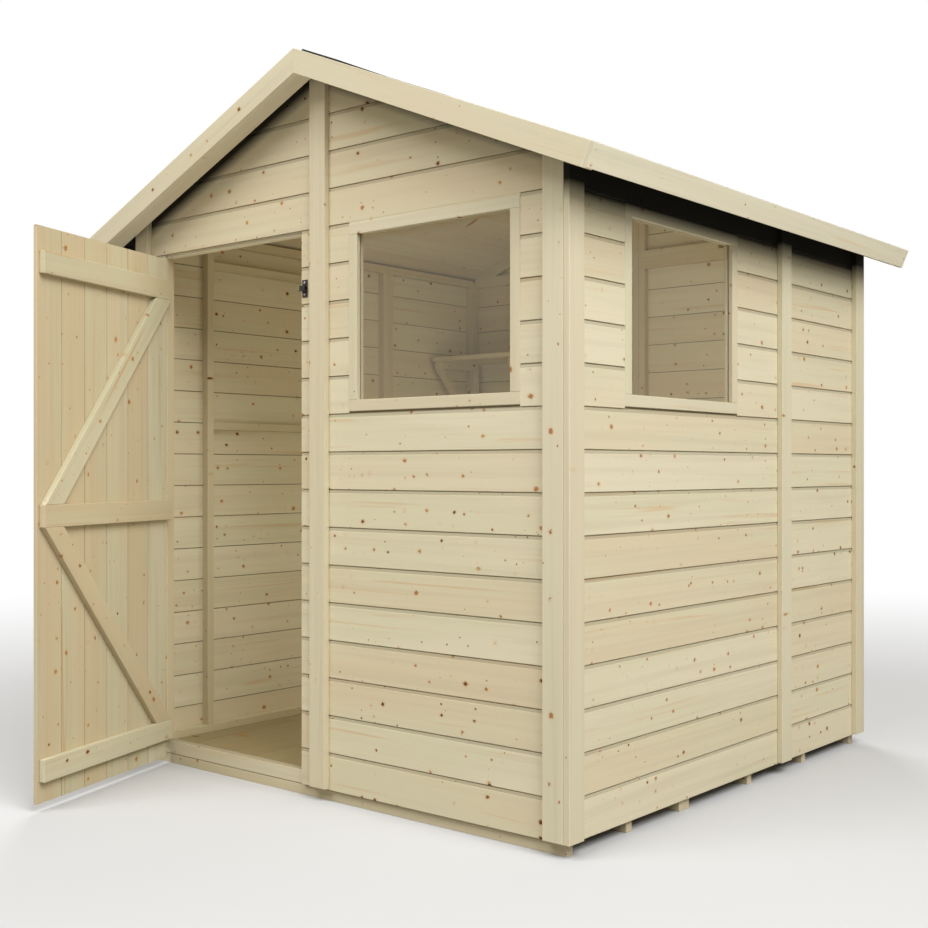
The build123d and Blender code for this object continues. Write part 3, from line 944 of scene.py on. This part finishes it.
# Shelf and its brackets
shelf = timbers_of("shelf", arris=round_arris)
done(shelf, "planed_shelf", shelf_pine, nodes=("shelf",))
for node in ("shelf_bracket_arms", "shelf_bracket_uprights"):
    done(timbers_of(node), "planed_" + node, shelf_pine, nodes=(node,))
braces = []
node = "shelf_bracket_braces"
for low, high in solids_of(node):
    run, drop = high[1] - low[1], high[2] - low[2]
    slope = Vector((0, run, -drop)).normalized()
    outward = Vector((0, -slope.z, slope.y))
    corner = Vector((0, low[1], high[2]))
    piece = block(low, high)
    saw(piece, corner, -outward)
    saw(piece, corner + outward * bracket_brace_width, outward)
    braces.append(set_grain(ease(piece, planed_arris), slope))
done(braces, "planed_" + node, shelf_pine, nodes=(node,))

# Door, made shut and swung open about its pins
swing = (
    Matrix.Translation((hinge_axis[0], hinge_axis[1], 0))
    @ Matrix.Rotation(-rest_opening, 4, "Z")
    @ Matrix.Translation((-hinge_axis[0], -hinge_axis[1], 0))
)
door_back = door_face + cladding
planks = []
plank_width = (door_x[1] - door_x[0]) / plank_count
plank = block((0, door_face, door_z[0]), (plank_width, door_back, door_z[1]))
ease(plank, plank_arris, lambda edge: abs(edge.verts[0].co.z - edge.verts[1].co.z) > near, 1)
joints = [door_x[0] + edge * plank_width for edge in range(1, plank_count)]


def plank_tone(vertex):
    """Dark along the joints between planks."""
    return plank_joint_dark * any(abs(vertex.co.x - joint) < near for joint in joints)


for index in range(plank_count):
    piece = shift(again(plank), Matrix.Translation((door_x[0] + index * plank_width, 0, 0)))
    set_tone(piece, "seam_and_painted_shade", plank_tone)
    planks.append(shift(set_grain(piece, (0, 0, 1)), swing))
clear()
bpy.data.objects.remove(plank)
done(planks, "door_planks", door_pine, "door", ("door_boards",))
ledges = []
for centre in ledge_centres:
    low = (door_x[0], door_back, centre - ledge_half)
    high = (door_x[1] - ledge_setback, door_back + ledge_thick, centre + ledge_half)
    ledges.append(shift(timber(low, high, (1, 0, 0), round_arris), swing))
done(ledges, "door_ledges_planed", door_pine, "door", ("door_ledges",))


def door_brace(bottom, top, rising):
    """A sloping brace cut level on the ledges that it stands between."""
    left, right = door_x[0] + brace_setback, door_x[1] - ledge_setback - brace_setback
    run = right - left - brace_width
    seat = brace_width * math.hypot(top - bottom, run) / (top - bottom)
    low, high = (right - seat, left) if rising else (left, right - seat)
    piece = block((left, door_back, bottom), (right, door_back + ledge_thick, top))
    slope = Vector((high - low, 0, top - bottom)).normalized()
    outward = Vector((slope.z, 0, -slope.x))
    saw(piece, (low, 0, bottom), -outward)
    saw(piece, (low + seat, 0, bottom), outward)
    return shift(set_grain(ease(piece, round_arris), slope), swing)


door_braces = [
    door_brace(ledge_centres[1] + ledge_half, ledge_centres[2] - ledge_half, True),
    door_brace(ledge_centres[0] + ledge_half, ledge_centres[1] - ledge_half, False),
]
done(door_braces, "door_braces_planed", door_pine, "door", ("door_braces",))

# Hardware and panes keep the shape of their solids
for node in ("hinge_plates", "hinge_straps", "door_bolt", "bolt_keep"):
    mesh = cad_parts[node].data
    mesh.materials.clear()
    mesh.materials.append(iron_finish)


def screw_head():
    """A pan head with a sunk middle, its back at Y nought and facing the front."""
    clear()
    bpy.ops.mesh.primitive_cylinder_add(
        vertices=16, radius=screw_radius, depth=screw_depth, rotation=(math.pi / 2, 0, 0)
    )
    bpy.ops.object.transform_apply(location=True, rotation=True, scale=True)
    head = bpy.context.object
    choose(head, "FACE", lambda face: face.normal.y < -0.9)
    for inset, sink in screw_insets:
        bpy.ops.mesh.inset(thickness=inset)
        bpy.ops.transform.translate(value=(0, sink, 0))
    bpy.ops.object.mode_set(mode="OBJECT")
    return shift(head, Matrix.Translation((0, -screw_depth / 2, 0)))


leaf_face = door_face - leaf_thick
wall_screws = [(keep_screw_x, bolt_height + side * keep_screw_rise) for side in (-1, 1)]
door_screws = [(x, bolt_height + side * bolt_screw_rise) for x in bolt_screw_x for side in (-1, 1)]
for centre in ledge_centres:
    wall_screws += [(hinge_axis[0] - plate_screw_back, centre + step) for step in plate_screw_steps]
    door_screws += [(door_x[0] + step, centre) for step in strap_screw_steps]
master_screw = screw_head()
for body, places in (("shed", wall_screws), ("door", door_screws)):
    screws = []
    for x, z in places:
        screw = shift(again(master_screw), Matrix.Translation((x, leaf_face, z)))
        screws.append(shift(screw, swing) if body == "door" else screw)
    done(screws, "screws_on_" + body, zinc_finish, body)
clear()
bpy.data.objects.remove(master_screw)

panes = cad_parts["window_panes"].data
panes.materials.clear()
panes.materials.append(pane_finish)

# Stage, light and camera
floor_size = 600
floor_colour, floor_bounce = (0.575, 0.58, 0.595), (0.34, 0.335, 0.315)
floor_fades = (1.5, 7.0)
white = (1, 1, 1)
day_strength = 0.27
day_tint = (1.0, 0.93, 0.76)
softbox_size = 5.5
softbox_target = Vector((0, 0, 1.0))
softboxes = (
    ("softbox_right", (6.3, -2.55, 7.0), 800),
    ("softbox_front", (-0.7, -6.3, 7.7), 510),
    ("softbox_behind", (-6.5, 6.0, 6.0), 620),
)
inside_lamps = (
    ("lamp_inside_low", (-0.05, -0.25, 0.9)),
    ("lamp_inside_high", (0.45, 0.15, 1.4)),
)
inside_power = 4.7
inside_size = 0.35
inside_colour = (0.96, 0.94, 0.80)
camera_place = (2.77345, -3.53783, 0.98913)
camera_turn = math.radians(40.038)

clear()
bpy.ops.mesh.primitive_plane_add(size=floor_size, location=(0, 0, 0))
floor = bpy.context.object
floor.name = "studio_floor"
floor_paint = Finish("studio_floor_paint", roughness=0.9, specular=0.1)
reach = floor_paint.length(floor_paint.place())
seen = floor_paint.add("ShaderNodeLightPath", {}, {})[0]
glow = floor_paint.add("ShaderNodeEmission", {}, {"Color": white, "Strength": 1.0})[0]
far = floor_paint.fade(reach, *floor_fades) * seen
floor_paint.colour(floor_paint.mix(seen, floor_bounce, floor_colour))
paint = Tone(floor_paint, floor_paint.shader.outputs[0])
blend = floor_paint.add("ShaderNodeMixShader", {}, {0: far, 1: paint, 2: glow})[0]
floor_paint.feed(floor_paint.nodes["Material Output"].inputs["Surface"], blend)
floor.data.materials.append(floor_paint.material)

# The world is white to look at, in glass and in reflections, and soft warm daylight otherwise
world = bpy.data.worlds.new("studio_world")
bpy.context.scene.world = world
sky = Tree(world)
rays = {ray.socket.name: ray for ray in sky.add("ShaderNodeLightPath", {}, {})}
shown = rays["Is Camera Ray"] | rays["Is Transmission Ray"] | rays["Is Glossy Ray"]
strength = {"Value": shown, "To Min": day_strength, "To Max": 1.0}
day = sky.nodes["Background"].inputs
sky.feed(day["Strength"], sky.add("ShaderNodeMapRange", {}, strength)[0])
sky.feed(day["Color"], sky.mix(shown, day_tint, white))

for name, place, power in softboxes:
    clear()
    bpy.ops.object.light_add(type="AREA", location=place)
    lamp = bpy.context.object
    lamp.name = name
    lamp.data.shape = "SQUARE"
    lamp.data.size = softbox_size
    lamp.data.energy = power
    lamp.rotation_euler = (softbox_target - Vector(place)).to_track_quat("-Z", "Y").to_euler()
for name, place in inside_lamps:
    clear()
    bpy.ops.object.light_add(type="POINT", location=place)
    lamp = bpy.context.object
    lamp.name = name
    lamp.data.shadow_soft_size = inside_size
    lamp.data.energy = inside_power
    lamp.data.color = inside_colour
    lamp.visible_camera = False

clear()
bpy.ops.object.camera_add(location=camera_place, rotation=(math.pi / 2, 0, camera_turn))
camera = bpy.context.object
camera.data.sensor_width = 36.0
camera.data.lens = 49.44
camera.data.shift_y = 0.0051
bpy.context.scene.camera = camera
bpy.context.scene.view_settings.view_transform = "Standard"
